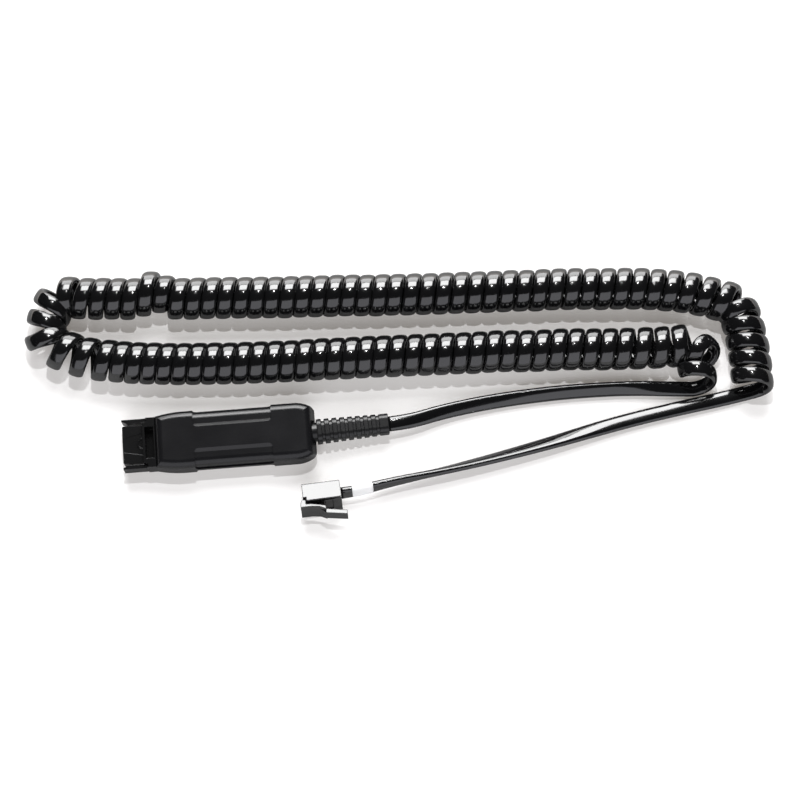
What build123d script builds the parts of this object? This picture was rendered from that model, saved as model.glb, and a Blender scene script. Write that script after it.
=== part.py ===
from build123d import *

import os
from math import cos, pi, radians, sin, tan

# Headset adapter cord, in millimetres. A quick-disconnect connector with a ribbed strain
# relief, a curly flat cord doubled back on itself, and a four-way modular plug.
# The connector lies flat along X with its contact tongue towards -X. +Z is up, and the
# origin is under the middle of the connector, on the surface that everything lies on.

# ---------------------------------------------------------------- driving dimensions
# Connector housing
housing_length = 51.5
housing_width = 19.0
housing_height = 10.5
housing_wall = 1.7
front_side_step = 1.1
shoulder_length = 9.0
rear_side_step = 2.3
rear_corner_length = 6.5
rear_slope = 1.7
edge_radius = 2.6
# Grip panels, sunk into both long edges of each shell
grip_length = 25.2
grip_start = 12.4
grip_spine = 7.2
grip_bevel = 1.1
grip_depth = 0.75
grip_side_depth = 0.45
grip_height = 4.4
grip_corner_radius = 1.3
# Pins on the lower shell and the bosses that they stand on and plug into
pin_diameter = 1.5
pin_height = 2.0
boss_diameter = 3.0
boss_in_wall = 0.4
boss_from_block = 3.2
boss_from_rear = 4.5
cavity_corner_radius = 1.0
# Contact carrier: tongue, base block, neck through the front wall and inner block
tongue_length = 6.6
tongue_width = 12.4
tongue_height = 4.0
tongue_chamfer = 0.35
base_length = 4.1
base_height = 7.2
pocket_length = 2.8
pocket_width = 10.5
pocket_depth = 4.2
pocket_from_housing = 0.5
neck_step = 0.85
inner_block_length = 6.5
wedge_front_width = 4.4
wedge_back_width = 7.4
wedge_depth = 0.25
mark_radius = 1.95
mark_line = 0.45
# Detent arms beside the tongue
arm_thickness = 1.3
arm_gap = 0.7
arm_height = 5.2
arm_hinge_back = 0.8
arm_tip_chamfer = 0.8
# Quick-disconnect contacts
contact_count = 4
contact_pitch = 2.5
contact_width = 1.2
contact_thickness = 0.4
contact_setback = 0.6
contact_chamfer = 0.15
barrel_length = 2.6
barrel_size = 1.3
# Strain relief
rib_count = 8
rib_pitch = 2.53
rib_width = 1.65
rib_edge_radius = 0.25
rib_depth = 0.7
boot_flatness = 0.84
boot_corner_share = 0.3
collar_length = 3.1
collar_depth = 0.4
boot_first_wall = 0.75
boot_last_wall = 0.45
boot_neck_wall = 0.65
boot_flange_width = 10.0
boot_flange_thickness = 1.5
boot_yaw = 2.6
boot_drop = 2.0
boot_gap = 0.4
# Flat cord and its conductors
cord_width = 5.0
cord_thickness = 2.5
conductor_diameter = 0.9
conductor_pitch = 1.02
conductor_straight = 5.0
conductor_bend_radius = 2.2
jacket_inside = 6.0
crimp_length = 3.0
crimp_wall = 0.35
# Curly length and the round tubes that stand for the uncoiled flat cord
coil_diameter = 13.8
lead_diameter = 3.8
arc_share = 0.45
boot_lead_straight = 7.0
plug_lead_straight = 5.5
# Label sleeve near the plug
label_length = 6.7
label_wall = 0.15
label_from_plug = 3.6
# Modular plug
plug_length = 12.3
plug_height = 6.6
plug_width = 7.65
plug_edge_radius = 0.3
plug_heading = 3.0
plug_roll = 22.0
plug_rear_x = 25.9
plug_rear_y = -21.1
plug_notch_length = 1.1
plug_notch_depth = 1.4
plug_cord_depth = 7.4
plug_cord_offset = 2.75
blade_count = 4
blade_pitch = 1.02
blade_thickness = 0.35
blade_length = 3.6
blade_setback = 1.0
blade_recess = 0.35
blade_slot_margin = 0.4
latch_width = 6.0
lever_width = 3.2
latch_root_radius = 0.65
latch_root_setback = 0.1
clamp_length = 2.6
clamp_width = 5.0
clamp_from_rear = 2.8
clamp_sunk = 0.3
# Clearances
fit = 0.1
running = 0.07
slack = 0.05
# How far a cut runs past the face that it opens
past = 1.0

# ---------------------------------------------------------------- places that follow
mid_z = housing_height / 2
boot_core_first = cord_width + 2 * boot_first_wall
boot_core_last = cord_width + 2 * boot_last_wall
rib_first_diameter = boot_core_first + 2 * rib_depth
collar_diameter = boot_core_last + 2 * collar_depth
boot_length = boot_gap + rib_count * rib_pitch + collar_length
boot_axis = Vector(1, 0, 0).rotate(Axis.Y, boot_drop).rotate(Axis.Z, boot_yaw)
boot_tilt = radians(boot_axis.get_angle(Vector(1, 0, 0)))
boot_reach = boot_length * cos(boot_tilt) + collar_diameter / 2 * sin(boot_tilt)
tongue_front = -(tongue_length + base_length + housing_length + boot_reach) / 2
base_front = tongue_front + tongue_length
housing_front = base_front + base_length
housing_rear = housing_front + housing_length
cavity_front = housing_front + housing_wall
cavity_rear = housing_rear - rear_slope - housing_wall
cavity_width = housing_width - 2 * housing_wall - 2 * grip_side_depth
cavity_height = housing_height - 2 * housing_wall
neck_width = cavity_width - 2 * neck_step
neck_height = cavity_height - 2 * neck_step
base_width = tongue_width + 2 * (arm_gap + arm_thickness)
boot_neck_diameter = cord_width + 2 * boot_neck_wall
boot_hole = boot_neck_diameter + 2 * fit
boot_plane = Plane(origin=(housing_rear, 0, mid_z), x_dir=(0, 1, 0), z_dir=boot_axis)
boot_neck_back = housing_rear - cavity_rear + boot_gap


def bar(x_from, x_to, y_from, y_to, z_from, z_to, mode=Mode.ADD):
    """A rectangular block between two corners, added to or cut from the open part."""
    with Locations(((x_from + x_to) / 2, (y_from + y_to) / 2, (z_from + z_to) / 2)):
        Box(abs(x_to - x_from), abs(y_to - y_from), abs(z_to - z_from), mode=mode)


def along_boot(distance):
    """The plane across the strain relief at a distance behind the housing."""
    return boot_plane.offset(distance)


def save(part, name):
    """Label a finished piece and write it to its own STEP file."""
    part.label = name
    export_step(part, f"parts/{name}.step")


os.makedirs("parts", exist_ok=True)


# ---------------------------------------------------------------- connector housing
def housing_form(side_inset, face_inset):
    """The closed outer form of the housing, drawn in by an inset on its sides and faces."""
    half = housing_width / 2 - side_inset
    half_front = half - front_side_step
    half_rear = half - rear_side_step
    top = housing_height - face_inset
    shoulder = (housing_front + shoulder_length, half)
    corner = (housing_rear - rear_corner_length, half)
    with BuildPart() as form:
        with BuildSketch(Plane.XY.offset(face_inset)):
            with BuildLine():
                Line((housing_front, 0), (housing_front, half_front))
                TangentArc(shoulder, (housing_front, half_front), tangent=(-1, 0))
                Line(shoulder, corner)
                TangentArc(corner, (housing_rear, half_rear), tangent=(1, 0))
                Line((housing_rear, half_rear), (housing_rear, 0))
                mirror(about=Plane.XZ)
            make_face()
        extrude(amount=top - face_inset)
        with BuildSketch(Plane.XZ):
            with BuildLine():
                Polyline(
                    (housing_front, face_inset),
                    (housing_front, top),
                    (housing_rear - rear_slope, top),
                    (housing_rear, mid_z),
                    (housing_rear - rear_slope, face_inset),
                    close=True,
                )
            make_face()
        extrude(amount=housing_width, both=True, mode=Mode.INTERSECT)
        rims = form.edges().filter_by_position(Axis.Z, top, top)
        rims += form.edges().filter_by_position(Axis.Z, face_inset, face_inset)
        fillet(rims, edge_radius)
    return form.part


outer_form = housing_form(0, 0)
panel_form = housing_form(grip_side_depth, grip_depth)

# The grip panels are the outer form cut back to the slightly smaller panel form.
grip_front = housing_front + grip_start
spine = grip_spine / 2
with BuildPart() as grip_cuts:
    with BuildSketch(Plane.YZ.offset(grip_front)):
        with BuildLine():
            Polyline(
                (spine, housing_height + past),
                (spine, housing_height),
                (spine + grip_bevel, housing_height - grip_depth),
                (spine + grip_bevel, housing_height - grip_height),
                (housing_width, housing_height - grip_height),
                (housing_width, housing_height + past),
                close=True,
            )
        make_face()
        mirror(about=Plane.YZ)
    extrude(amount=grip_length)
    # The ends are rounded, both as seen from above and as seen from the side
    grip_middle = grip_front + grip_length / 2
    with BuildSketch(Plane.XY):
        with Locations((grip_middle, spine + housing_width / 2), (grip_middle, -spine - housing_width / 2)):
            RectangleRounded(grip_length, housing_width, grip_corner_radius)
    extrude(amount=2 * housing_height, mode=Mode.INTERSECT)
    with BuildSketch(Plane.XZ):
        with Locations((grip_middle, 2 * housing_height - grip_height)):
            RectangleRounded(grip_length, 2 * housing_height, grip_corner_radius)
    extrude(amount=housing_width, both=True, mode=Mode.INTERSECT)
    mirror(about=Plane.XY.offset(mid_z))
    add(panel_form, mode=Mode.SUBTRACT)

with BuildPart() as cavity:
    bar(cavity_front, cavity_rear, -cavity_width / 2, cavity_width / 2,
        housing_wall, housing_height - housing_wall)
    fillet(cavity.edges().filter_by(Axis.Z).sort_by(Axis.X)[-2:], cavity_corner_radius)
    # Window for the neck of the contact carrier
    half_neck = neck_width / 2 + fit
    neck_half_height = neck_height / 2 + fit
    bar(housing_front - past, cavity_front + past, -half_neck, half_neck,
        mid_z - neck_half_height, mid_z + neck_half_height)
    # Hole for the neck of the strain relief, along its slightly tilted axis
    with BuildSketch(along_boot(-boot_neck_back - past)):
        Circle(boot_hole / 2)
    extrude(amount=boot_neck_back + 3 * past)

# Four pins on the lower shell locate the upper one. Their bosses run into the side walls.
pin_y = cavity_width / 2 + boss_in_wall - boss_diameter / 2
pin_places = [
    (x, y)
    for x in (cavity_front + inner_block_length + boss_from_block, cavity_rear - boss_from_rear)
    for y in (-pin_y, pin_y)
]

with BuildPart() as upper_shell:
    add(outer_form)
    add(grip_cuts.part, mode=Mode.SUBTRACT)
    add(cavity.part, mode=Mode.SUBTRACT)
    split(bisect_by=Plane.XY.offset(mid_z), keep=Keep.TOP)
    with BuildSketch(Plane.XY.offset(mid_z)):
        with Locations(*pin_places):
            Circle(boss_diameter / 2)
    extrude(amount=cavity_height / 2)
    with BuildSketch(Plane.XY.offset(mid_z)):
        with Locations(*pin_places):
            Circle(pin_diameter / 2 + slack)
    extrude(amount=pin_height + fit, mode=Mode.SUBTRACT)
save(upper_shell.part, "upper_shell")

with BuildPart() as lower_shell:
    add(outer_form)
    add(grip_cuts.part, mode=Mode.SUBTRACT)
    add(cavity.part, mode=Mode.SUBTRACT)
    split(bisect_by=Plane.XY.offset(mid_z), keep=Keep.BOTTOM)
    with BuildSketch(Plane.XY.offset(mid_z)):
        with Locations(*pin_places):
            Circle(boss_diameter / 2)
    extrude(amount=-cavity_height / 2)
    with BuildSketch(Plane.XY.offset(mid_z)):
        with Locations(*pin_places):
            Circle(pin_diameter / 2)
    extrude(amount=pin_height)
save(lower_shell.part, "lower_shell")

# ---------------------------------------------------------------- contact carrier
tongue_top = mid_z + tongue_height / 2
base_top = mid_z + base_height / 2
arm_middle = base_width / 2 - arm_thickness / 2
arm_hinge_x = base_front + arm_hinge_back
arm_socket = arm_thickness / 2 + running
contact_places = [
    (number - (contact_count - 1) / 2) * contact_pitch for number in range(contact_count)
]
contact_bottom = mid_z - tongue_height / 2
contact_front = tongue_front + contact_setback
contact_back = cavity_front + inner_block_length

with BuildPart() as contact_carrier:
    bar(tongue_front, base_front, -tongue_width / 2, tongue_width / 2,
        mid_z - tongue_height / 2, tongue_top)
    tongue_front_face = contact_carrier.faces().sort_by(Axis.X)[0]
    chamfer(tongue_front_face.edges(), tongue_chamfer)
    bar(base_front, housing_front, -base_width / 2, base_width / 2,
        mid_z - base_height / 2, base_top)
    bar(housing_front, cavity_front + fit, -neck_width / 2, neck_width / 2,
        mid_z - neck_height / 2, mid_z + neck_height / 2)
    inner_half_width = cavity_width / 2 - fit
    inner_half_height = cavity_height / 2 - fit
    bar(cavity_front + fit, contact_back, -inner_half_width, inner_half_width,
        mid_z - inner_half_height, mid_z + inner_half_height)
    # Open pocket in the top of the base block, close to the housing
    pocket_back = housing_front - pocket_from_housing
    bar(pocket_back - pocket_length, pocket_back, -pocket_width / 2, pocket_width / 2,
        base_top - pocket_depth, base_top + past, mode=Mode.SUBTRACT)
    # Shallow wedge on the tongue that widens towards the base, and a half-round mark
    with BuildSketch(Plane.XY.offset(tongue_top - wedge_depth)):
        with BuildLine():
            Polyline(
                (tongue_front - past, wedge_front_width / 2),
                (base_front, wedge_back_width / 2),
                (base_front, -wedge_back_width / 2),
                (tongue_front - past, -wedge_front_width / 2),
                close=True,
            )
        make_face()
    extrude(amount=wedge_depth + past, mode=Mode.SUBTRACT)
    with BuildSketch(Plane.XY.offset(tongue_top - wedge_depth)):
        with Locations((base_front, 0)):
            Circle(mark_radius)
            Circle(mark_radius - mark_line, mode=Mode.SUBTRACT)
        with Locations((base_front + mark_radius, 0)):
            Rectangle(2 * mark_radius, 3 * mark_radius, mode=Mode.SUBTRACT)
    extrude(amount=wedge_depth)
    # Sockets that the round roots of the detent arms turn in
    for side in (-1, 1):
        with Locations((arm_hinge_x, side * arm_middle, mid_z)):
            Cylinder(arm_socket, base_height + past, mode=Mode.SUBTRACT)
        bar(base_front - past, arm_hinge_x, side * (arm_middle - arm_socket - running),
            side * (base_width / 2 + past), mid_z - base_height, mid_z + base_height,
            mode=Mode.SUBTRACT)
    # Slots for the contacts along the underside of the tongue and through the block
    for y in contact_places:
        bar(contact_front - slack, contact_back + past, y - contact_width / 2 - slack,
            y + contact_width / 2 + slack, contact_bottom - fit,
            contact_bottom + contact_thickness + slack, mode=Mode.SUBTRACT)
save(contact_carrier.part, "contact_carrier")

for side, name in ((1, "far_detent_arm"), (-1, "near_detent_arm")):
    inner_face = side * (arm_middle - arm_thickness / 2)
    outer_face = side * (arm_middle + arm_thickness / 2)
    with BuildPart() as detent_arm:
        with BuildSketch(Plane.XY.offset(mid_z - arm_height / 2)):
            with BuildLine():
                Polyline(
                    (arm_hinge_x, outer_face),
                    (tongue_front, outer_face),
                    (tongue_front, outer_face - side * (arm_thickness - arm_tip_chamfer)),
                    (tongue_front + 2 * arm_tip_chamfer, inner_face),
                    (arm_hinge_x, inner_face),
                    close=True,
                )
            make_face()
            with Locations((arm_hinge_x, side * arm_middle)):
                Circle(arm_thickness / 2)
        extrude(amount=arm_height)
    save(detent_arm.part, name)

for number, y in enumerate(contact_places, start=1):
    with BuildPart() as contact:
        bar(contact_front, contact_back + fit, y - contact_width / 2, y + contact_width / 2,
            contact_bottom, contact_bottom + contact_thickness)
        chamfer(contact.faces().sort_by(Axis.X)[0].edges().filter_by(Axis.Y), contact_chamfer)
        # Crimp barrel that takes the end of the conductor
        bar(contact_back + fit, contact_back + fit + barrel_length, y - barrel_size / 2,
            y + barrel_size / 2, contact_bottom, contact_bottom + barrel_size)
    save(contact.part, f"line_contact_{number}")

# ---------------------------------------------------------------- strain relief
def boot_section(width):
    """The rounded section of the strain relief, a little lower than it is wide."""
    RectangleRounded(width, boot_flatness * width, boot_corner_share * width)


with BuildPart() as strain_relief:
    with BuildSketch(along_boot(-boot_neck_back)):
        Circle(boot_neck_diameter / 2)
    extrude(amount=boot_neck_back + boot_gap)
    with BuildSketch(along_boot(-boot_neck_back)):
        Rectangle(boot_flange_width, cavity_height - 2 * boot_gap)
    extrude(amount=-boot_flange_thickness)
    with BuildSketch(along_boot(boot_gap)):
        boot_section(boot_core_first)
    with BuildSketch(along_boot(boot_length)):
        boot_section(boot_core_last)
    loft()
    for rib in range(rib_count + 1):
        share = rib / rib_count
        diameter = rib_first_diameter + (collar_diameter - rib_first_diameter) * share
        is_collar = rib == rib_count
        with BuildSketch(along_boot(boot_gap + rib * rib_pitch)):
            boot_section(diameter)
        extrude(amount=collar_length if is_collar else rib_width)
        rib_ends = strain_relief.faces(Select.LAST).filter_by(Axis((0, 0, 0), boot_axis))
        rib_rims = [rim for end in rib_ends for rim in end.outer_wire().edges()]
        fillet(rib_rims, rib_edge_radius)
    with BuildSketch(along_boot(-boot_neck_back - boot_flange_thickness)):
        SlotOverall(cord_width + 2 * slack, cord_thickness + 2 * slack)
    extrude(amount=boot_length + boot_neck_back + boot_flange_thickness + past,
            mode=Mode.SUBTRACT)
save(strain_relief.part, "strain_relief")

# The flat jacket runs through the strain relief and ends inside the housing.
jacket_start = -boot_neck_back - boot_flange_thickness - jacket_inside
with BuildPart() as jacket_end:
    with BuildSketch(along_boot(jacket_start)):
        SlotOverall(cord_width, cord_thickness)
    extrude(amount=boot_length - jacket_start)
save(jacket_end.part, "cord_jacket_end")

# A folded metal crimp grips the jacket behind the flange and takes the pull.
with BuildPart() as crimp:
    with BuildSketch(along_boot(-boot_neck_back - boot_flange_thickness - fit)):
        SlotOverall(cord_width + 2 * (crimp_wall + slack),
                    cord_thickness + 2 * (crimp_wall + slack))
        SlotOverall(cord_width + 2 * slack, cord_thickness + 2 * slack, mode=Mode.SUBTRACT)
    extrude(amount=-crimp_length)
save(crimp.part, "cord_crimp")

# Four insulated conductors run from the jacket to the crimp barrels.
barrel_back = contact_back + fit + barrel_length
barrel_middle = contact_bottom + barrel_size / 2
jacket_plane = along_boot(jacket_start)
for number, y in enumerate(contact_places, start=1):
    spot = (number - (contact_count + 1) / 2) * conductor_pitch
    leave = jacket_plane.from_local_coords((spot, 0, 0))
    straight = jacket_plane.from_local_coords((spot, 0, -conductor_straight))
    spread = Vector(barrel_back + 2 * conductor_straight, y, mid_z)
    arrive = Vector(barrel_back + conductor_straight, y, barrel_middle)
    end = Vector(barrel_back, y, barrel_middle)
    with BuildPart() as conductor:
        with BuildLine() as wire_path:
            FilletPolyline(leave, straight, spread, arrive, end,
                           radius=conductor_bend_radius)
        with BuildSketch(Plane(origin=leave, z_dir=-boot_axis)):
            Circle(conductor_diameter / 2)
        sweep(path=wire_path.line)
    save(conductor.part, f"conductor_{number}")


# ---------------------------------------------------------------- modular plug
heading = radians(plug_heading)
roll = radians(plug_roll)
plug_rear_z = plug_height / 2 * sin(roll) + plug_width / 2 * cos(roll) + slack
plug_along = Vector(cos(heading), sin(heading), 0)
plug_across = Vector(sin(roll) * sin(heading), -sin(roll) * cos(heading), -cos(roll))
plug_rear = Vector(plug_rear_x, plug_rear_y, plug_rear_z)
# Local x runs from the nose to the rear, y from the contact side to the latch side.
plug_corner = Plane(origin=plug_rear - plug_along * plug_length, x_dir=plug_along,
                    z_dir=plug_across)
plug_plane = Plane(origin=plug_corner.from_local_coords((0, -plug_height / 2, 0)),
                   x_dir=plug_along, z_dir=plug_across)
half_plug = plug_width / 2
cord_half_depth = cord_thickness / 2 + slack
tunnel_end = plug_length - plug_cord_depth
latch_face = Plane(origin=plug_plane.from_local_coords((0, plug_height, 0)),
                   x_dir=plug_along, z_dir=plug_across)
blade_places = [
    (number - (blade_count - 1) / 2) * blade_pitch for number in range(blade_count)
]
blade_foot = plug_cord_offset - conductor_diameter / 2 - slack
clamp_top = plug_height - clamp_sunk


def plug_block(x_from, x_to, y_from, y_to, width, mode=Mode.ADD, middle=0.0):
    """A block in the plug's own axes, centred at a place across the plug's width."""
    centre = Location(((x_from + x_to) / 2, (y_from + y_to) / 2, middle))
    with Locations(plug_plane.location * centre):
        Box(x_to - x_from, y_to - y_from, width, mode=mode)


with BuildPart() as plug_body:
    plug_block(0, plug_length, 0, plug_height, plug_width)
    fillet(plug_body.edges().filter_by(Axis((0, 0, 0), plug_along)), plug_edge_radius)
    # Notch at the nose where the latch is rooted
    plug_block(-past, plug_notch_length, plug_height - plug_notch_depth, plug_height + past,
               plug_width + past, mode=Mode.SUBTRACT)
    # Cord entry, conductor tunnels and the window that the cord clamp is pressed into
    plug_block(tunnel_end, plug_length + past, plug_cord_offset - cord_half_depth,
               plug_cord_offset + cord_half_depth, cord_width + 2 * slack,
               mode=Mode.SUBTRACT)
    plug_block(plug_length - clamp_from_rear - clamp_length - slack,
               plug_length - clamp_from_rear + slack, plug_cord_offset,
               plug_height + past, clamp_width + 2 * slack, mode=Mode.SUBTRACT)
    for place in blade_places:
        plug_block(blade_setback, tunnel_end + past, blade_foot,
                   plug_cord_offset + conductor_diameter / 2 + slack,
                   conductor_diameter + 2 * slack, mode=Mode.SUBTRACT, middle=place)
        plug_block(blade_setback - blade_slot_margin,
                   blade_setback + blade_length + blade_slot_margin, -past,
                   plug_cord_offset, blade_thickness + 2 * slack, mode=Mode.SUBTRACT,
                   middle=place)
save(plug_body.part, "plug_body")

for number, place in enumerate(blade_places, start=1):
    with BuildPart() as blade:
        plug_block(blade_setback, blade_setback + blade_length, blade_recess, blade_foot,
                   blade_thickness, middle=place)
    save(blade.part, f"plug_contact_{number}")

with BuildPart() as plug_conductors:
    for place in blade_places:
        with BuildSketch(Plane(
            origin=plug_plane.from_local_coords(
                (blade_setback + slack, plug_cord_offset, place)),
            z_dir=plug_along,
        )):
            Circle(conductor_diameter / 2)
        extrude(amount=tunnel_end - blade_setback)
save(plug_conductors.part, "plug_conductors")

with BuildPart() as plug_cord_end:
    with BuildSketch(Plane(
        origin=plug_plane.from_local_coords((tunnel_end + slack, plug_cord_offset, 0)),
        x_dir=plug_across,
        z_dir=plug_along,
    )):
        SlotOverall(cord_width, cord_thickness)
    extrude(amount=plug_cord_depth - slack)
save(plug_cord_end.part, "plug_cord_end")

with BuildPart() as plug_clamp:
    plug_block(plug_length - clamp_from_rear - clamp_length,
               plug_length - clamp_from_rear, plug_cord_offset + cord_half_depth,
               clamp_top, clamp_width)
save(plug_clamp.part, "plug_cord_clamp")

# The latch rises from the nose, carries a wide catch and ends in a narrow lever.
# Its outline is measured from the nose and up from the body's latch face.
root_front = latch_root_setback - latch_root_radius
root_back = latch_root_setback + latch_root_radius
with BuildPart() as plug_latch:
    with BuildSketch(latch_face.offset(-latch_width / 2)):
        with BuildLine():
            Polyline(
                (root_front, -latch_root_radius),
                (-1.0, 0.6),
                (-1.0, 1.7),
                (2.4, 1.75),
                (5.0, 2.2),
                (7.0, 3.35),
                (7.0, 2.15),
                (5.2, 1.55),
                (2.5, 0.85),
                (root_back, 0.7),
                (root_back, -latch_root_radius),
                close=True,
            )
        make_face()
        with Locations((latch_root_setback, -latch_root_radius)):
            Circle(latch_root_radius)
    extrude(amount=latch_width)
    with BuildSketch(latch_face.offset(-lever_width / 2)):
        with BuildLine():
            Polyline(
                (5.0, 2.2),
                (7.0, 4.0),
                (13.6, 5.4),
                (13.7, 4.0),
                (7.0, 2.4),
                (5.2, 1.55),
                close=True,
            )
        make_face()
    extrude(amount=lever_width)
save(plug_latch.part, "plug_latch")

# ---------------------------------------------------------------- cord
boot_end = along_boot(boot_length).origin
cord_socket = plug_plane.from_local_coords((plug_length, plug_cord_offset, 0))


def corner_radii(points):
    """Radius at each corner: as large as the shorter of its two runs allows."""
    radii = []
    for before, corner, after in zip(points, points[1:], points[2:]):
        run_in = corner - before
        run_out = after - corner
        turn = radians(run_in.get_angle(run_out))
        radii.append(arc_share * min(run_in.length, run_out.length) / tan(turn / 2))
    return radii


def tube(points, diameter, name):
    """A round tube along straight runs joined by arcs, written to its STEP file."""
    radii = corner_radii(points)
    with BuildPart() as cord:
        with BuildLine() as path:
            FilletPolyline(*points, radius=radii)
        with BuildSketch(Plane(origin=points[0], z_dir=points[1] - points[0])):
            Circle(diameter / 2)
        sweep(path=path.line)
    length = sum(edge.length for edge in path.edges())
    expected = pi * diameter ** 2 / 4 * length
    print(name, "length", round(length, 1), "radii",
          [round(radius, 1) for radius in radii],
          "volume against section times length", round(cord.part.volume / expected, 4))
    save(cord.part, name)


coil_z = coil_diameter / 2
coil_route = [
    Vector(x, y, coil_z)
    for x, y in (
        (144.8, 6.8), (144.2, 12.6), (139.8, 17.4), (131.5, 19.4), (116, 20.0),
        (82, 21.9), (46, 23.2), (6, 24.2), (-22, 25.6), (-44, 28.0), (-65.9, 29.2),
        (-65.9, 50.2), (-44, 49.6), (-15, 47.5), (18, 45.8), (52, 43.6), (86, 42.2),
        (112, 40.9), (131, 39.4), (146, 36.6), (158.3, 30), (162, 16.5), (161.6, 3.2),
    )
]
tube(coil_route, coil_diameter, "coiled_cord")

floor_z = lead_diameter / 2
near_lead_route = [
    boot_end,
    boot_end + boot_axis * boot_lead_straight,
    Vector(61, 4.3, 2.7),
    Vector(79, 6.8, floor_z),
    Vector(101, 7.9, floor_z),
    Vector(123, 7.4, floor_z),
    Vector(137, 8.0, floor_z),
    Vector(145, 10.0, floor_z),
]
tube(near_lead_route, lead_diameter, "near_lead")

far_lead_route = [
    cord_socket,
    cord_socket + plug_along * plug_lead_straight,
    Vector(42, -18.1, 4.0),
    Vector(62, -15.2, 2.5),
    Vector(90, -10.0, floor_z),
    Vector(118, -3.6, floor_z),
    Vector(142, 0.4, floor_z),
    Vector(157, 2.6, floor_z),
    Vector(163.6, 5.6, floor_z + 0.4),
]
tube(far_lead_route, lead_diameter, "far_lead")

# A thin paper sleeve is wrapped round the far lead close to the plug.
label_start = cord_socket + plug_along * label_from_plug
label_turn = far_lead_route[1]
label_past_turn = label_from_plug + label_length - plug_lead_straight
label_end = label_turn + (far_lead_route[2] - label_turn).normalized() * label_past_turn
with BuildPart() as label:
    with BuildSketch(Plane(origin=label_start, z_dir=label_end - label_start)):
        Circle(lead_diameter / 2 + label_wall + slack)
        Circle(lead_diameter / 2 + slack, mode=Mode.SUBTRACT)
    extrude(amount=label_length)
save(label.part, "lead_label")
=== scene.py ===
from math import cos, pi, radians, sin

import bpy
import numpy as np
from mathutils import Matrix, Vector


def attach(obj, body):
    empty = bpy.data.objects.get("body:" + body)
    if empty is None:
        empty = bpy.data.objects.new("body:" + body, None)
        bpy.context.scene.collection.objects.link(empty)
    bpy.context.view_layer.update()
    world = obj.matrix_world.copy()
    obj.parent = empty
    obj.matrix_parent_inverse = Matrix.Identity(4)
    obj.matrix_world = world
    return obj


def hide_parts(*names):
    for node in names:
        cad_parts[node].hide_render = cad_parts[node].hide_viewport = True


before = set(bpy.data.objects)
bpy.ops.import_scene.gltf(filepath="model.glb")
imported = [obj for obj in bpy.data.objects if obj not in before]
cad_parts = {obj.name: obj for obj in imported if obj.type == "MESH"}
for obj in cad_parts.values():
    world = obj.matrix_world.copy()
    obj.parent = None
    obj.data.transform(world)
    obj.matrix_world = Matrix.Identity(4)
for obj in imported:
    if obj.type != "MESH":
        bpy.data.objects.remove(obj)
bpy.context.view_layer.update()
scene = bpy.context.scene
scene.view_settings.view_transform = "Standard"


# ---------------------------------------------------------------- camera
# A long lens looks down steeply from the side that the plug lies on, turned a few degrees
# so that the connector's front end points slightly down and to the left.
camera_elevation = 75
camera_turn = -4.504
camera_distance = 0.72
looks_at = Vector((0.0473, 0.0100, 0.0))
camera = bpy.data.objects.new("camera", bpy.data.cameras.new("camera"))
scene.collection.objects.link(camera)
camera.rotation_euler = (radians(90 - camera_elevation), 0, radians(camera_turn))
back = camera.rotation_euler.to_matrix() @ Vector((0, 0, 1))
camera.location = looks_at + back * camera_distance
camera.data.sensor_width = 36
camera.data.lens = 99.1
camera.data.clip_start = 0.05
camera.data.clip_end = 20
scene.camera = camera


# ---------------------------------------------------------------- studio
# A white sheet on the table. On its far side stand a softbox, a low strip under it and a
# small bare lamp above it, and on its near side a wide dim panel and a fill lamp. The room
# is dark.
def area_lamp(name, elevation, turn, distance, width, height, radiance):
    """A soft lamp that faces the object from a direction round it, at a given radiance."""
    data = bpy.data.lights.new(name, "AREA")
    data.shape = "RECTANGLE"
    data.size, data.size_y = width, height
    data.energy = radiance * pi * width * height
    lamp = bpy.data.objects.new(name, data)
    scene.collection.objects.link(lamp)
    up, round_z = radians(elevation), radians(turn)
    away = Vector((sin(round_z) * cos(up), cos(round_z) * cos(up), sin(up)))
    lamp.location = looks_at + away * distance
    lamp.rotation_euler = away.to_track_quat("Z", "Y").to_euler()
    lamp.visible_camera = False
    return lamp


far_side_turn, near_side_turn = 4.5, 184.5
area_lamp("softbox", elevation=46, turn=far_side_turn, distance=0.80,
          width=0.54, height=0.40, radiance=10.0)
area_lamp("low_strip", elevation=15, turn=far_side_turn, distance=1.0,
          width=0.9, height=0.50, radiance=5.0)
near_panel = area_lamp("near_panel", elevation=28, turn=near_side_turn, distance=1.0,
                       width=1.7, height=1.05, radiance=0.9)
near_panel.data.color = (0.98, 0.98, 1.04)

# The bare lamp and the fill lamp light the pieces, but no surface mirrors them.
bare_lamp_place = {"elevation": 71, "turn": far_side_turn, "distance": 0.95,
                   "width": 0.022, "height": 0.022}
bare_lamp = area_lamp("bare_lamp", radiance=2150, **bare_lamp_place)
near_fill = area_lamp("near_fill", elevation=45, turn=near_side_turn, distance=1.0,
                      width=1.2, height=0.8, radiance=1.8)
for unmirrored in (bare_lamp, near_fill):
    unmirrored.visible_glossy = False

# A second lamp in the bare lamp's place reaches only the glossy pieces, which mirror it as
# small bright dots.
glint = area_lamp("glint", radiance=1100, **bare_lamp_place)
glossy_pieces = bpy.data.collections.new("glossy_pieces")
glint.light_linking.receiver_collection = glossy_pieces

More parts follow.
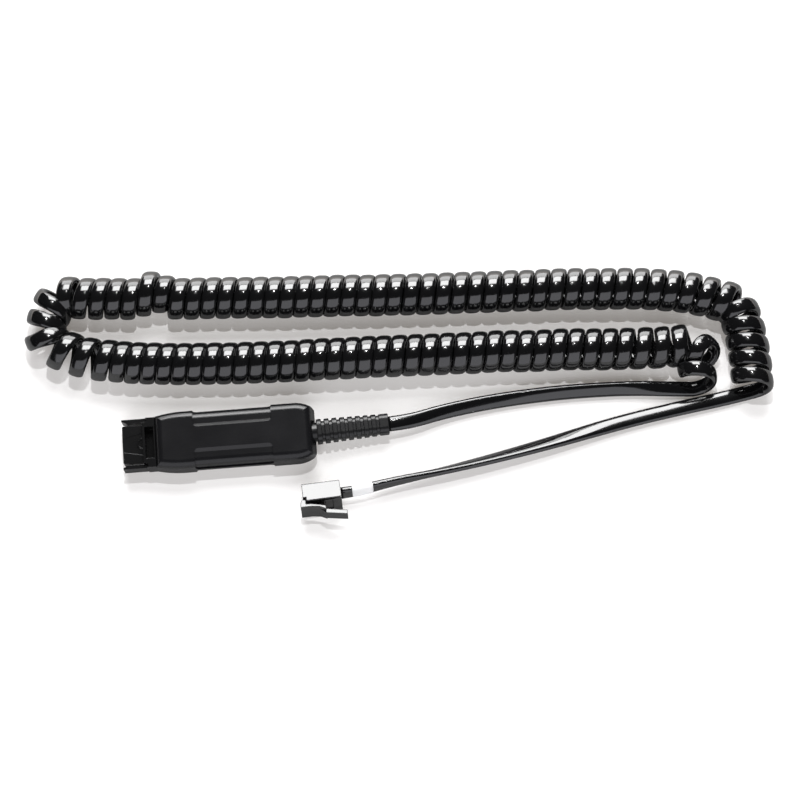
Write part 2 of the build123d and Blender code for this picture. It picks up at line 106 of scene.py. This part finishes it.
world = bpy.data.worlds.new("studio")
scene.world = world
world.use_nodes = True
nodes, links = world.node_tree.nodes, world.node_tree.links
backdrop = nodes["Background"]
ray = nodes.new("ShaderNodeLightPath")
room_tone = nodes.new("ShaderNodeMix")
room_tone.data_type = "RGBA"
room_tone.inputs["A"].default_value = (0.012, 0.012, 0.0125, 1)
room_tone.inputs["B"].default_value = (1, 1, 1, 1)
links.new(ray.outputs["Is Camera Ray"], room_tone.inputs["Factor"])
links.new(room_tone.outputs["Result"], backdrop.inputs["Color"])

sheet_reach = 4.0
floor_mesh = bpy.data.meshes.new("floor")
floor_mesh.from_pydata(
    [(-sheet_reach, -sheet_reach, 0), (sheet_reach, -sheet_reach, 0),
     (sheet_reach, sheet_reach, 0), (-sheet_reach, sheet_reach, 0)], [], [(0, 1, 2, 3)])
floor = bpy.data.objects.new("floor", floor_mesh)
scene.collection.objects.link(floor)
white_sheet = bpy.data.materials.new("white_sheet")
white_sheet.use_nodes = True
nodes, links = white_sheet.node_tree.nodes, white_sheet.node_tree.links
nodes.remove(nodes["Principled BSDF"])
paper = nodes.new("ShaderNodeBsdfDiffuse")
# The sheet glows a little to the eye, and its far side is bright in reflections.
seen_glow = 0.21
near_glow, far_glow = 0.03, 1.1
far_glow_from, far_glow_to = 0.06, 0.13
white_from, white_to = 0.35, 0.9
# Seen in reflections the sheet is a darker grey, and its far side glows bright there:
# painted reflections.
ray = nodes.new("ShaderNodeLightPath")
tone = nodes.new("ShaderNodeMix")
tone.data_type = "RGBA"
tone.inputs["A"].default_value = (0.8, 0.8, 0.805, 1)
tone.inputs["B"].default_value = (0.35, 0.35, 0.35, 1)
links.new(ray.outputs["Is Glossy Ray"], tone.inputs["Factor"])
links.new(tone.outputs["Result"], paper.inputs["Color"])
spot = nodes.new("ShaderNodeTexCoord")
split = nodes.new("ShaderNodeSeparateXYZ")
links.new(spot.outputs["Object"], split.inputs["Vector"])
far_side = nodes.new("ShaderNodeMapRange")
far_side.inputs["From Min"].default_value = far_glow_from
far_side.inputs["From Max"].default_value = far_glow_to
far_side.inputs["To Min"].default_value = near_glow
far_side.inputs["To Max"].default_value = far_glow
links.new(split.outputs["Y"], far_side.inputs["Value"])
mirrored = nodes.new("ShaderNodeMath")
mirrored.operation = "MULTIPLY"
links.new(ray.outputs["Is Glossy Ray"], mirrored.inputs[0])
links.new(far_side.outputs["Result"], mirrored.inputs[1])
# Far from the cord, where the lamps fall off, the sheet stays white to the eye.
reach = nodes.new("ShaderNodeVectorMath")
reach.operation = "LENGTH"
links.new(spot.outputs["Object"], reach.inputs[0])
seen_level = nodes.new("ShaderNodeMapRange")
seen_level.inputs["From Min"].default_value = white_from
seen_level.inputs["From Max"].default_value = white_to
seen_level.inputs["To Min"].default_value = seen_glow
seen_level.inputs["To Max"].default_value = 1
links.new(reach.outputs["Value"], seen_level.inputs["Value"])
level = nodes.new("ShaderNodeMath")
level.operation = "MULTIPLY_ADD"
links.new(ray.outputs["Is Camera Ray"], level.inputs[0])
links.new(seen_level.outputs["Result"], level.inputs[1])
links.new(mirrored.outputs[0], level.inputs[2])
# The glow is warm, which paints a warm tint into the sheet's shadows.
lift = nodes.new("ShaderNodeEmission")
lift.inputs["Color"].default_value = (1.0, 0.93, 0.86, 1)
links.new(level.outputs[0], lift.inputs["Strength"])
both = nodes.new("ShaderNodeAddShader")
links.new(paper.outputs[0], both.inputs[0])
links.new(lift.outputs[0], both.inputs[1])
links.new(both.outputs[0], nodes["Material Output"].inputs["Surface"])
floor_mesh.materials.append(white_sheet)


# ---------------------------------------------------------------- curly cord
# One length of flat four-wire cord with a glossy black jacket. Most of it is wound, wide
# side out, into a springy left-hand coil that is doubled back; both ends run out straight.
cord_width = 0.00495
cord_thickness = 0.0025
coil_outer_radius = 0.0069
coil_radius = coil_outer_radius - cord_thickness / 2
coil_z = coil_outer_radius


def length_so_far(line):
    """How far along a line each of its points is."""
    steps = np.linalg.norm(np.diff(line, axis=0), axis=1)
    return np.concatenate([[0], np.cumsum(steps)])


def smooth_line(name, points, resolution):
    """Points along the smooth line that a given route gives, and its length so far."""
    curve = bpy.data.curves.new(name, "CURVE")
    curve.dimensions = "3D"
    spline = curve.splines.new("NURBS")
    spline.points.add(len(points) - 1)
    for point, place in zip(spline.points, points):
        point.co = (*place, 1)
    spline.order_u = 3
    spline.use_endpoint_u = True
    spline.resolution_u = resolution
    holder = bpy.data.objects.new(name, curve)
    mesh = bpy.data.meshes.new_from_object(holder)
    line = np.array([vertex.co for vertex in mesh.vertices])
    bpy.data.objects.remove(holder)
    bpy.data.curves.remove(curve)
    bpy.data.meshes.remove(mesh)
    return line, length_so_far(line)


coil_route = [
    (0.1430, 0.0058, coil_z), (0.1439, 0.0100, coil_z), (0.1469, 0.0156, coil_z),
    (0.1426, 0.0196, coil_z), (0.1340, 0.0188, coil_z), (0.1160, 0.0200, coil_z),
    (0.0820, 0.0219, coil_z), (0.0460, 0.0232, coil_z), (0.0060, 0.0242, coil_z),
    (-0.0220, 0.0256, coil_z), (-0.0440, 0.0282, coil_z), (-0.0570, 0.0310, coil_z),
    (-0.0673, 0.0370, coil_z), (-0.0652, 0.0450, coil_z), (-0.0620, 0.0520, coil_z),
    (-0.0520, 0.0503, coil_z), (-0.0440, 0.0496, coil_z), (-0.0150, 0.0475, coil_z),
    (0.0180, 0.0458, coil_z), (0.0520, 0.0436, coil_z), (0.0860, 0.0422, coil_z),
    (0.1120, 0.0409, coil_z), (0.1310, 0.0394, coil_z), (0.1420, 0.0376, coil_z),
    (0.1520, 0.0346, coil_z), (0.1594, 0.0316, coil_z), (0.1612, 0.0235, coil_z),
    (0.1619, 0.0120, coil_z), (0.1616, 0.0034, coil_z),
]
middle, middle_run = smooth_line("coil_middle", coil_route, resolution=24)
middle_along = np.gradient(middle, middle_run, axis=0)

# How far along the coil each of some turns is. The turns are loose at both ends and fan
# out where the coil doubles back; between, they lie side by side.
turns_at = [
    (0, 0.0), (0.5, 0.0040), (1.5, 0.0122), (2.5, 0.0190), (3.5, 0.0246), (5.5, 0.0366),
    (10.5, 0.0636), (20.5, 0.1157), (30.5, 0.1657), (38.5, 0.2052), (39.5, 0.2120),
    (40.5, 0.2188), (41.5, 0.2259), (42.5, 0.2317), (44.5, 0.2436), (45.5, 0.2497),
    (55.5, 0.3016), (65.5, 0.3516), (75.5, 0.4043), (82.5, 0.4420), (83.5, 0.4476),
    (86.5, 0.4653), (91, 0.4915),
]
turn_count = turns_at[-1][0]
rings_per_turn = 36
turn = np.linspace(0, turn_count, turn_count * rings_per_turn + 1)
distance = np.interp(turn, *zip(*turns_at)) * middle_run[-1] / turns_at[-1][1]


def values_at(places, run, values):
    """Values given at a line's points, read at other distances along that line."""
    return np.stack([np.interp(places, run, column) for column in values.T], axis=1)


def unit(vectors):
    """The same vectors, each of length one."""
    return vectors / np.linalg.norm(vectors, axis=1, keepdims=True)


# Each turn sits a little off the middle line, and two turns are pushed clear to the side.
scatter = np.random.default_rng(5)
scatter_spread = 0.00012
pushed_turns = (48.9, 50.9)
pushed_by = 0.0024
push_ramp = 0.6
turn_numbers = np.arange(turn_count + 1)
sideways = scatter.normal(0, scatter_spread, turn_count + 1)
sideways = np.interp(turn, turn_numbers, sideways)
push = (np.clip((turn - pushed_turns[0]) / push_ramp, 0, 1)
        * np.clip((pushed_turns[1] - turn) / push_ramp, 0, 1))
sideways = sideways - push * pushed_by

up = np.array([0.0, 0.0, 1.0])
coil_along = unit(values_at(distance, middle_run, middle_along))
right = unit(np.cross(coil_along, up))
# The first turns lean over to the side where the lead pulls on them.
lean_at = [(0, 4), (0.25, 14), (0.75, 30), (1.25, 24), (2.5, 8), (4.5, 0)]
lean = np.radians(np.interp(turn, *zip(*lean_at)))
right = np.cos(lean)[:, None] * right + np.sin(lean)[:, None] * coil_along
angle = 2 * pi * turn
outward = -np.cos(angle)[:, None] * up + np.sin(angle)[:, None] * right
coil_line = (values_at(distance, middle_run, middle) + coil_radius * outward
             + sideways[:, None] * right)

# The straight ends meet the first and the last turn at the bottom, where they lie flat.
near_route = [
    (0.04280, 0.00107, 0.00440), (0.04979, 0.00139, 0.00416), (0.061, 0.0043, 0.0029),
    (0.079, 0.0068, 0.0023), (0.101, 0.0079, 0.0025), (0.123, 0.0074, 0.0026),
    (0.136, 0.0062, 0.0019), tuple(coil_line[0]),
]
far_route = [
    tuple(coil_line[-1]), (0.153, 0.0018, 0.0014), (0.139, -0.0002, 0.0017),
    (0.118, -0.0036, 0.0018), (0.090, -0.0100, 0.0027), (0.062, -0.0152, 0.0031),
    (0.042, -0.0181, 0.0039), (0.0314, -0.0203, 0.0046), (0.0259, -0.0206, 0.0046),
]
near_rolls = [-4, -14, -21, -24, -32, -35, -15, 0]
far_rolls = [0, -4, -8, -9, -38, -62, -92, -105, -112]


def lead(name, route, rolls):
    """A straight end of the cord: its line, and its flat side turned by given rolls."""
    line, run = smooth_line(name, route, resolution=12)
    along = unit(np.gradient(line, run, axis=0))
    share = np.linspace(0, 1, len(line)) * (len(route) - 1)
    roll = np.radians(np.interp(share, range(len(rolls)), rolls))[:, None]
    side = unit(np.cross(along, up))
    return line, -np.cos(roll) * up + np.sin(roll) * side


near_line, near_face = lead("near_lead_line", near_route, near_rolls)
far_line, far_face = lead("far_lead_line", far_route, far_rolls)
cord_line = np.concatenate([near_line[:-1], coil_line, far_line[1:]])
cord_face = np.concatenate([near_face[:-1], outward, far_face[1:]])

# The jacket's section is a flat oval with well rounded edges.
section_points = 24
squareness = 2 / 2.6
around = (np.arange(section_points) + 0.5) * 2 * pi / section_points


def rounded_side(size, wave):
    """One coordinate of the section, from the cosine or the sine of the way round it."""
    return size / 2 * np.sign(wave) * np.abs(wave) ** squareness


section_x = rounded_side(cord_width, np.cos(around))
section_y = rounded_side(cord_thickness, np.sin(around))


def flat_tube(name, line, face, across, thick):
    """A closed tube of a flat section swept along a line, its face turned as given."""
    along = unit(np.gradient(line, length_so_far(line), axis=0))
    sideways = unit(np.cross(along, face))
    normal = np.cross(sideways, along)
    rings = (line[:, None] + across[None, :, None] * sideways[:, None]
             + thick[None, :, None] * normal[:, None])
    count = len(across)
    quads = [
        (ring * count + k, ring * count + (k + 1) % count,
         (ring + 1) * count + (k + 1) % count, (ring + 1) * count + k)
        for ring in range(len(line) - 1) for k in range(count)
    ]
    last = (len(line) - 1) * count
    ends = [tuple(reversed(range(count))), tuple(last + k for k in range(count))]
    mesh = bpy.data.meshes.new(name)
    mesh.from_pydata(rings.reshape(-1, 3).tolist(), [], quads + ends)
    mesh.shade_smooth()
    mesh.update()
    piece = bpy.data.objects.new(name, mesh)
    scene.collection.objects.link(piece)
    return piece


curly_cord = flat_tube("curly_cord", cord_line, cord_face, section_x, section_y)


def moulded_plastic(name, colour, roughness, specular, ior, grain, depth, blotch, edge=0):
    """Plastic with slight colour and gloss changes and a fine surface grain."""
    least, most = 0.75, 1.3
    material = bpy.data.materials.new(name)
    material.use_nodes = True
    nodes, links = material.node_tree.nodes, material.node_tree.links
    skin = nodes["Principled BSDF"]
    skin.inputs["IOR"].default_value = ior
    skin.inputs["Specular IOR Level"].default_value = specular
    place = nodes.new("ShaderNodeTexCoord")
    cloud = nodes.new("ShaderNodeTexNoise")
    cloud.inputs["Scale"].default_value = blotch
    cloud.inputs["Detail"].default_value = 3
    links.new(place.outputs["Object"], cloud.inputs["Vector"])
    shade = nodes.new("ShaderNodeMix")
    shade.data_type = "RGBA"
    shade.inputs["A"].default_value = (*[least * channel for channel in colour], 1)
    shade.inputs["B"].default_value = (*[most * channel for channel in colour], 1)
    links.new(cloud.outputs["Fac"], shade.inputs["Factor"])
    links.new(shade.outputs["Result"], skin.inputs["Base Color"])
    gloss = nodes.new("ShaderNodeMapRange")
    gloss.inputs["To Min"].default_value = roughness * least
    gloss.inputs["To Max"].default_value = roughness * most
    links.new(cloud.outputs["Fac"], gloss.inputs["Value"])
    links.new(gloss.outputs["Result"], skin.inputs["Roughness"])
    fine = nodes.new("ShaderNodeTexNoise")
    fine.inputs["Scale"].default_value = grain
    fine.inputs["Detail"].default_value = 2
    links.new(place.outputs["Object"], fine.inputs["Vector"])
    bump = nodes.new("ShaderNodeBump")
    bump.inputs["Distance"].default_value = depth
    bump.inputs["Strength"].default_value = 1
    links.new(fine.outputs["Fac"], bump.inputs["Height"])
    links.new(bump.outputs["Normal"], skin.inputs["Normal"])
    if edge:
        softened = nodes.new("ShaderNodeBevel")
        softened.samples = 6
        softened.inputs["Radius"].default_value = edge
        links.new(softened.outputs["Normal"], bump.inputs["Normal"])
    return material


jacket_black = moulded_plastic("jacket_black", colour=(0.0035, 0.0035, 0.0038),
                               roughness=0.12, specular=0.5, ior=1.85,
                               grain=900, depth=0.000003, blotch=120)
curly_cord.data.materials.append(jacket_black)
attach(curly_cord, "base")
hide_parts("coiled_cord", "near_lead", "far_lead")
glossy_pieces.objects.link(curly_cord)


# ---------------------------------------------------------------- paper label
# A plain white paper label, wrapped flat round the cord and stuck to itself a few
# millimetres from the plug. It and the plug hang on the cord.
label_from_plug, label_length = 0.0036, 0.0067
label_rings = 14
paper_wrap = 0.00012
from_plug = length_so_far(far_line[::-1])
under = np.linspace(label_from_plug, label_from_plug + label_length, label_rings)
label_line = values_at(under, from_plug, far_line[::-1])
label_face = values_at(under, from_plug, far_face[::-1])
lead_label = flat_tube("paper_label", label_line, unit(label_face),
                       section_x * (1 + 2 * paper_wrap / cord_width),
                       section_y * (1 + 2 * paper_wrap / cord_thickness))
white_paper = bpy.data.materials.new("white_paper")
white_paper.use_nodes = True
nodes, links = white_paper.node_tree.nodes, white_paper.node_tree.links
fibre = nodes.new("ShaderNodeTexNoise")
fibre.inputs["Scale"].default_value = 1400
shade = nodes.new("ShaderNodeMix")
shade.data_type = "RGBA"
shade.inputs["A"].default_value = (0.78, 0.78, 0.78, 1)
shade.inputs["B"].default_value = (0.86, 0.86, 0.86, 1)
links.new(fibre.outputs["Fac"], shade.inputs["Factor"])
links.new(shade.outputs["Result"], nodes["Principled BSDF"].inputs["Base Color"])
nodes["Principled BSDF"].inputs["Roughness"].default_value = 0.55
lead_label.data.materials.append(white_paper)
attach(lead_label, "base")
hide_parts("lead_label")


# ---------------------------------------------------------------- connector housing
# Two shells of satin black plastic with sunk grip panels down both long edges. They are
# moulded, and press together on four pins.
def give_finish(material, *names):
    """Gives pieces of the frame their finish."""
    for name in names:
        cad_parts[name].data.materials.clear()
        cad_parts[name].data.materials.append(material)


housing_black = moulded_plastic("housing_black", colour=(0.006, 0.006, 0.0068),
                                roughness=0.24, specular=0.55, ior=1.5,
                                grain=2600, depth=0.000006, blotch=60)
give_finish(housing_black, "upper_shell", "lower_shell")


# ---------------------------------------------------------------- contact carrier
# The tongue and its base block are one moulding in a harder, glossier plastic. A springy
# detent arm stands in a socket on each side of the tongue.
carrier_black = moulded_plastic("carrier_black", colour=(0.005, 0.005, 0.0052),
                                roughness=0.2, specular=0.45, ior=1.5,
                                grain=2600, depth=0.000003, blotch=60, edge=0.0002)
give_finish(carrier_black, "contact_carrier", "far_detent_arm", "near_detent_arm")


# ---------------------------------------------------------------- line contacts
# Four stamped strips lie along the underside of the tongue, plated with gold and crimped
# onto the wires behind it. The modular plug has four short upright ones.
def metal(name, dark, bright, roughness):
    """Bare or plated metal with faint streaks in its colour."""
    material = bpy.data.materials.new(name)
    material.use_nodes = True
    nodes, links = material.node_tree.nodes, material.node_tree.links
    skin = nodes["Principled BSDF"]
    skin.inputs["Metallic"].default_value = 1
    skin.inputs["Roughness"].default_value = roughness
    place = nodes.new("ShaderNodeTexCoord")
    streaks = nodes.new("ShaderNodeTexNoise")
    streaks.inputs["Scale"].default_value = 700
    links.new(place.outputs["Object"], streaks.inputs["Vector"])
    shade = nodes.new("ShaderNodeMix")
    shade.data_type = "RGBA"
    shade.inputs["A"].default_value = (*dark, 1)
    shade.inputs["B"].default_value = (*bright, 1)
    links.new(streaks.outputs["Fac"], shade.inputs["Factor"])
    links.new(shade.outputs["Result"], skin.inputs["Base Color"])
    return material


gold_plate = metal("gold_plate", dark=(0.72, 0.50, 0.20), bright=(0.85, 0.62, 0.28),
                   roughness=0.25)
for number in range(1, 5):
    give_finish(gold_plate, f"line_contact_{number}", f"plug_contact_{number}")


# ---------------------------------------------------------------- strain relief
# A flexible black sleeve with eight ribs and an end collar, moulded over the flat cord
# and held in the rear wall by its flange.
boot_black = moulded_plastic("boot_black", colour=(0.006, 0.006, 0.0065),
                             roughness=0.3, specular=0.6, ior=1.5,
                             grain=1800, depth=0.000004, blotch=60)
give_finish(boot_black, "strain_relief")


# ---------------------------------------------------------------- inside the connector
# The cord's jacket ends behind the flange under a folded steel crimp, and its four wires
# run on to the contacts in thin coloured insulation.
give_finish(jacket_black, "cord_jacket_end", "plug_cord_end")
plated_steel = metal("plated_steel", dark=(0.50, 0.50, 0.51), bright=(0.66, 0.66, 0.67),
                     roughness=0.35)
give_finish(plated_steel, "cord_crimp")
insulation_colours = [(0.006, 0.006, 0.006), (0.45, 0.02, 0.015), (0.02, 0.20, 0.04),
                      (0.62, 0.45, 0.03)]
for number, colour in enumerate(insulation_colours, start=1):
    insulation = moulded_plastic(f"insulation_{number}", colour=colour,
                                 roughness=0.35, specular=0.5, ior=1.5,
                                 grain=1500, depth=0.000002, blotch=80)
    give_finish(insulation, f"conductor_{number}")


# ---------------------------------------------------------------- modular plug
# One moulding in glossy black plastic, with a springy latch rooted at its nose.
# A clamp is pressed in over the jacket, and the wires end under the contacts.
plug_pieces = ("plug_body", "plug_latch", "plug_cord_clamp")
plug_black = moulded_plastic("plug_black", colour=(0.004, 0.004, 0.004),
                             roughness=0.06, specular=0.5, ior=1.85,
                             grain=500, depth=0.000002, blotch=60, edge=0.0004)
give_finish(plug_black, *plug_pieces)
wire_grey = moulded_plastic("wire_grey", colour=(0.10, 0.10, 0.10),
                            roughness=0.4, specular=0.5, ior=1.5,
                            grain=1500, depth=0.000002, blotch=80)
give_finish(wire_grey, "plug_conductors")
for name in plug_pieces:
    glossy_pieces.objects.link(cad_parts[name])
